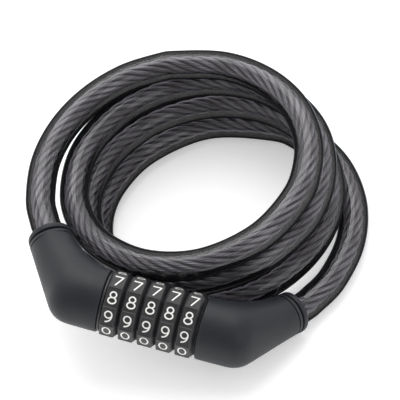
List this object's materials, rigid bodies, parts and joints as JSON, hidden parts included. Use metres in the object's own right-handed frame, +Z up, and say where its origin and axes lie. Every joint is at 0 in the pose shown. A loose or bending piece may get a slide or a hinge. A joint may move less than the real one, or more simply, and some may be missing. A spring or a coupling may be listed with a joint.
{
  "type": "cable lock",
  "caption": "Coiled steel cable in a smoked clear jacket, its ends joined by a black barrel combination lock with numbered dials.",
  "frame": {"origin": "under the middle of the barrel lock, on the surface that the coil lies on", "axes": "+Z up along the coil's axis; +X to the right along the barrel seen from its dial side; +Y from the barrel towards the coil"},
  "size_m": [0.1344, 0.1371, 0.0484],
  "materials": {
    "housing": "satin slate-black moulded plastic",
    "dial_black": "fine-grained black moulded plastic, white filled digits",
    "cable_jacket": "glossy smoked clear PVC over twisted steel strands",
    "steel": "turned, zinc plated",
    "zinc": "die cast, tumbled",
    "spring_steel": "blued strip"
  },
  "bodies": {
    "root": {"cable_coil": "cable_jacket", "cable_left_lead": "cable_jacket", "cable_right_lead": "cable_jacket", "right_elbow": "housing", "right_end_ring": "housing", "right_ferrule": "steel", "right_ferrule_pin": "steel", "bolt": "steel", "bolt_pin": "steel"},
    "lock_body": {"left_elbow": "housing", "left_end_ring": "housing", "left_ferrule": "steel", "left_ferrule_pin": "steel", "lock_core": "zinc", "core_pin": "steel", "detent_spring": "spring_steel", "spacer_washer": "dial_black", "end_washer": "spring_steel", "retaining_ring": "spring_steel"},
    "dial_1_turning": {"dial_1": "dial_black", "code_ring_1": "zinc"},
    "dial_2_turning": {"dial_2": "dial_black", "code_ring_2": "zinc"},
    "dial_3_turning": {"dial_3": "dial_black", "code_ring_3": "zinc"},
    "dial_4_turning": {"dial_4": "dial_black", "code_ring_4": "zinc"},
    "dial_5_turning": {"dial_5": "dial_black", "code_ring_5": "zinc"}
  },
  "joints": [
    {"name": "lock_pull", "type": "slide", "parent": "root", "child": "lock_body", "axis": [-0.9646, 0, 0.2639], "range_m": [0, 0.042], "deforming": ["cable_left_lead"]},
    {"name": "dial_1_turn", "type": "hinge", "parent": "lock_body", "child": "dial_1_turning", "pos_m": [-0.01485, -0.0074, 0.03066], "axis": [0.9646, 0, -0.2639], "continuous": true},
    {"name": "dial_2_turn", "type": "hinge", "parent": "lock_body", "child": "dial_2_turning", "pos_m": [-0.00743, -0.0074, 0.02863], "axis": [0.9646, 0, -0.2639], "continuous": true},
    {"name": "dial_3_turn", "type": "hinge", "parent": "lock_body", "child": "dial_3_turning", "pos_m": [0, -0.0074, 0.0266], "axis": [0.9646, 0, -0.2639], "continuous": true},
    {"name": "dial_4_turn", "type": "hinge", "parent": "lock_body", "child": "dial_4_turning", "pos_m": [0.00743, -0.0074, 0.02457], "axis": [0.9646, 0, -0.2639], "continuous": true},
    {"name": "dial_5_turn", "type": "hinge", "parent": "lock_body", "child": "dial_5_turning", "pos_m": [0.01485, -0.0074, 0.02254], "axis": [0.9646, 0, -0.2639], "continuous": true}
  ]
}
